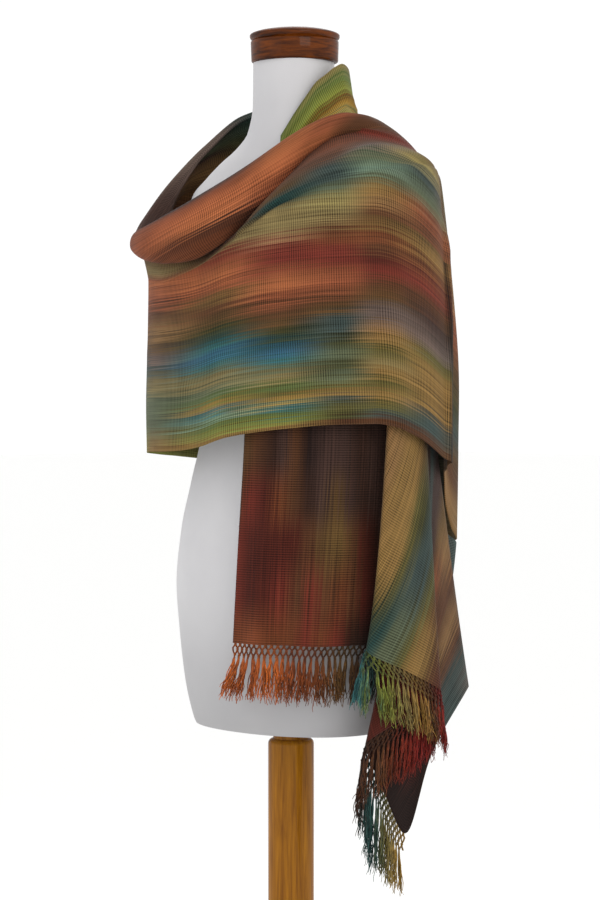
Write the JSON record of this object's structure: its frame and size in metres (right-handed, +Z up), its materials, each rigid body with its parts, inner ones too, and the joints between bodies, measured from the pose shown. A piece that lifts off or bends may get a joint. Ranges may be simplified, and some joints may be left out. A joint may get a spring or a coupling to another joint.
{
  "type": "fringed shawl on a dress form",
  "caption": "Hand-woven shawl with knotted fringes, wrapped round a limbless dress form on a wooden pole and round base.",
  "frame": {"origin": "middle of the flat underside of the base, on the floor", "axes": "+Z up; the form faces -Y and its left side is +X"},
  "size_m": [0.3996, 0.36, 1.5725],
  "materials": {
    "form_cloth": "matt jersey cover",
    "cap_wood": "gloss varnish, dark red-brown",
    "stand_wood": "gloss varnish, amber",
    "near_end_cloth": "hand-woven, space-dyed burgundy and rust",
    "back_cloth": "hand-woven, space-dyed olive and green",
    "wrap_cloth": "hand-woven, space-dyed orange, tan and teal",
    "tail_cloth": "hand-woven, space-dyed gold, green and brown",
    "near_fringe_yarn": "knotted yarn, rust",
    "tail_fringe_yarn": "knotted yarn, green and gold"
  },
  "bodies": {
    "root": {"torso": "form_cloth", "neck_cap": "cap_wood", "pole": "stand_wood", "base": "stand_wood", "near_end": "near_end_cloth", "back_stretch": "back_cloth", "front_wrap": "wrap_cloth", "tail": "tail_cloth", "near_fringe": "near_fringe_yarn", "tail_fringe": "tail_fringe_yarn"}
  },
  "joints": []
}
